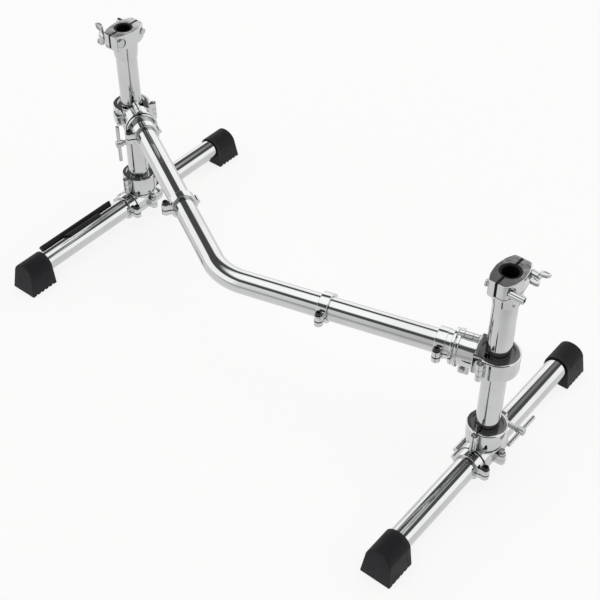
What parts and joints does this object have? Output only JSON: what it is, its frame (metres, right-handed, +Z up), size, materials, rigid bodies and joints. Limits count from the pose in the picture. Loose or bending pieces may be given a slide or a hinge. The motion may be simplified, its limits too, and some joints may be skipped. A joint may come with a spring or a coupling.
{
  "type": "low two-post drum rack",
  "caption": "Low chromed drum rack: a bent crossbar joins two posts on floor legs with rubber feet, with hinged clamps, T-handle screws and split collars.",
  "frame": {"origin": "Middle of the footprint, on the floor under the feet.", "axes": "+Z is up, +X runs along the crossbar's right straight towards the right post, +Y points away from the front feet."},
  "size_m": [1.0106, 0.8784, 0.413],
  "materials": {
    "chrome": "polished chrome plate",
    "steel": "bright plated steel",
    "dark_steel": "satin black bolt steel",
    "rubber": "matt black moulded rubber",
    "plastic": "satin black moulded plastic"
  },
  "bodies": {
    "crossbar": {"crossbar": "chrome", "right_keyed_collar": "chrome", "right_keyed_collar_bolt": "dark_steel", "right_free_collar": "chrome", "right_free_collar_bolt": "dark_steel", "left_keyed_collar": "chrome", "left_keyed_collar_bolt": "dark_steel", "left_free_collar": "chrome", "left_free_collar_bolt": "dark_steel"},
    "right_bar_clamp": {"right_bar_clamp_body": "chrome", "right_post_strap": "chrome", "right_post_strap_bolt": "steel", "right_bar_jaw": "chrome", "right_bar_jaw_pin": "steel"},
    "right_bar_handle": {"right_bar_handle": "steel"},
    "right_post": {"right_post": "chrome"},
    "right_leg_clamp": {"right_leg_clamp_body": "chrome", "right_post_ring_jaw": "chrome", "right_leg_grip_jaw": "chrome", "right_leg_grip_bolt": "steel"},
    "right_leg_handle": {"right_leg_handle": "steel"},
    "right_leg": {"right_leg_tube": "chrome", "right_front_foot": "rubber", "right_back_foot": "rubber", "right_leg_collar": "chrome", "right_leg_collar_bolt": "dark_steel"},
    "right_top_clamp": {"right_top_clamp_body": "chrome", "right_fixed_bushing": "plastic", "right_wing_bolt": "steel", "right_key_bolt": "steel"},
    "right_top_jaw": {"right_top_jaw": "chrome", "right_moving_bushing": "plastic", "right_key_nut": "steel"},
    "right_wing_nut": {"right_wing_nut": "steel"},
    "left_bar_clamp": {"left_bar_clamp_body": "chrome", "left_post_strap": "chrome", "left_post_strap_bolt": "steel", "left_bar_jaw": "chrome", "left_bar_jaw_pin": "steel"},
    "left_bar_handle": {"left_bar_handle": "steel"},
    "left_post": {"left_post": "chrome"},
    "left_leg_clamp": {"left_leg_clamp_body": "chrome", "left_post_ring_jaw": "chrome", "left_leg_grip_jaw": "chrome", "left_leg_grip_bolt": "steel"},
    "left_leg_handle": {"left_leg_handle": "steel"},
    "left_leg": {"left_leg_tube": "chrome", "left_front_foot": "rubber", "left_back_foot": "rubber", "left_leg_collar": "chrome", "left_leg_collar_bolt": "dark_steel"},
    "left_top_clamp": {"left_top_clamp_body": "chrome", "left_fixed_bushing": "plastic", "left_wing_bolt": "steel", "left_key_bolt": "steel"},
    "left_top_jaw": {"left_top_jaw": "chrome", "left_moving_bushing": "plastic", "left_key_nut": "steel"},
    "left_wing_nut": {"left_wing_nut": "steel"},
    "cable_clip": {"cable_clip": "plastic"}
  },
  "joints": [
    {"name": "right_bar_clamp_tilt", "type": "hinge", "parent": "crossbar", "child": "right_bar_clamp", "pos_m": [0.40587, -0.15726, 0.234], "axis": [-1, 0, 0], "range_deg": [-15, 15]},
    {"name": "right_bar_handle_turn", "type": "hinge", "parent": "right_bar_clamp", "child": "right_bar_handle", "pos_m": [0.35787, -0.15726, 0.2005], "axis": [0, 1, 0], "continuous": true},
    {"name": "right_post_slide", "type": "slide", "parent": "right_bar_clamp", "child": "right_post", "axis": [0, 0, 1], "range_m": [-0.06, 0.045]},
    {"name": "right_leg_clamp_swivel", "type": "hinge", "parent": "right_post", "child": "right_leg_clamp", "pos_m": [0.40587, -0.15726, 0.073], "axis": [0, 0, 1], "range_deg": [-90, 90]},
    {"name": "right_leg_handle_turn", "type": "hinge", "parent": "right_leg_clamp", "child": "right_leg_handle", "pos_m": [0.41511, -0.1235, 0.073], "axis": [0.9646, -0.2639, 0], "continuous": true},
    {"name": "right_leg_slide", "type": "slide", "parent": "right_leg_clamp", "child": "right_leg", "axis": [0.2639, 0.9646, 0], "range_m": [-0.1, 0]},
    {"name": "right_top_clamp_swivel", "type": "hinge", "parent": "right_post", "child": "right_top_clamp", "pos_m": [0.40587, -0.15726, 0.36], "axis": [0, 0, 1], "range_deg": [-170, 170]},
    {"name": "right_top_jaw_slide", "type": "slide", "parent": "right_top_clamp", "child": "right_top_jaw", "axis": [0.9646, -0.2639, 0], "range_m": [0, 0.003]},
    {"name": "right_wing_nut_turn", "type": "hinge", "parent": "right_top_jaw", "child": "right_wing_nut", "pos_m": [0.41273, -0.13218, 0.392], "axis": [0.9646, -0.2639, 0], "continuous": true},
    {"name": "left_bar_clamp_tilt", "type": "hinge", "parent": "crossbar", "child": "left_bar_clamp", "pos_m": [-0.3977, 0.18717, 0.234], "axis": [0.7163, -0.6978, 0], "range_deg": [-15, 15]},
    {"name": "left_bar_handle_turn", "type": "hinge", "parent": "left_bar_clamp", "child": "left_bar_handle", "pos_m": [-0.36331, 0.15368, 0.2005], "axis": [-0.6978, -0.7163, 0], "continuous": true},
    {"name": "left_post_slide", "type": "slide", "parent": "left_bar_clamp", "child": "left_post", "axis": [0, 0, 1], "range_m": [-0.06, 0.045]},
    {"name": "left_leg_clamp_swivel", "type": "hinge", "parent": "left_post", "child": "left_leg_clamp", "pos_m": [-0.3977, 0.18717, 0.073], "axis": [0, 0, 1], "range_deg": [-90, 90]},
    {"name": "left_leg_handle_turn", "type": "hinge", "parent": "left_leg_clamp", "child": "left_leg_handle", "pos_m": [-0.38846, 0.22093, 0.073], "axis": [0.9646, -0.2639, 0], "continuous": true},
    {"name": "left_leg_slide", "type": "slide", "parent": "left_leg_clamp", "child": "left_leg", "axis": [0.2639, 0.9646, 0], "range_m": [-0.1, 0]},
    {"name": "left_top_clamp_swivel", "type": "hinge", "parent": "left_post", "child": "left_top_clamp", "pos_m": [-0.3977, 0.18717, 0.36], "axis": [0, 0, 1], "range_deg": [-170, 170]},
    {"name": "left_top_jaw_slide", "type": "slide", "parent": "left_top_clamp", "child": "left_top_jaw", "axis": [-0.9646, 0.2639, 0], "range_m": [0, 0.003]},
    {"name": "left_wing_nut_turn", "type": "hinge", "parent": "left_top_jaw", "child": "left_wing_nut", "pos_m": [-0.40456, 0.16209, 0.392], "axis": [-0.9646, 0.2639, 0], "continuous": true},
    {"name": "cable_clip_turn", "type": "hinge", "parent": "left_leg", "child": "cable_clip", "pos_m": [-0.4386, 0.03766, 0.034], "axis": [0.2639, 0.9646, 0], "range_deg": [-60, 60]}
  ]
}
